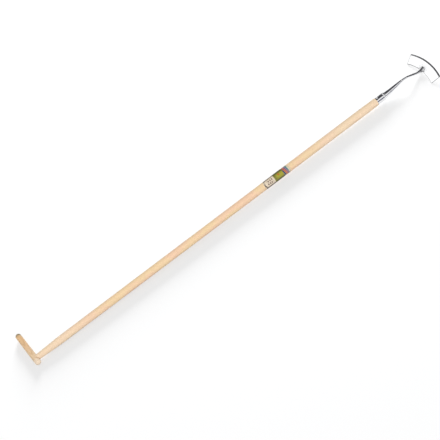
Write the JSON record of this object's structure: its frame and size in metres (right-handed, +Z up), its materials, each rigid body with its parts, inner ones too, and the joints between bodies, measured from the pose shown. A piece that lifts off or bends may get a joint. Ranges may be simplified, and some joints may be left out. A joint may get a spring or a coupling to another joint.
{
  "type": "dutch hoe",
  "caption": "Dutch hoe with a long ash shaft, a one-sided cross grip, a steel ferrule and socket, a swan neck and a curved push blade.",
  "frame": {"origin": "centre of the bounding box's bottom face; the tool lies on z = 0 on its blade's two back corners and the grip end of its shaft", "axes": "+X along the shaft from the grip to the blade, +Y the side that the grip's long arm points to, +Z up, the tool's top side"},
  "size_m": [1.6706, 0.21, 0.033],
  "materials": {
    "ash_shaft": "pale ash, fine sanded and thinly oiled",
    "ash_grip": "slightly darker ash, fine sanded and thinly oiled",
    "wedge_wood": "plain sawn hardwood",
    "nail_steel": "plain bright wire nail",
    "label_sheet": null,
    "polished_stainless": "polished stainless steel",
    "rivet_steel": "polished stainless steel",
    "weld_steel": "rippled weld metal, brushed bright",
    "blade_steel": "fine ground stainless steel, ground bevel"
  },
  "bodies": {
    "root": {"shaft": "ash_shaft", "grip": "ash_grip", "grip_wedge": "wedge_wood", "grip_nail": "nail_steel", "label": "label_sheet", "ferrule": "polished_stainless", "ferrule_rivet": "rivet_steel", "socket": "polished_stainless", "neck": "polished_stainless", "socket_weld": "weld_steel", "blade": "blade_steel", "blade_weld_left": "weld_steel", "blade_weld_right": "weld_steel"}
  },
  "joints": []
}
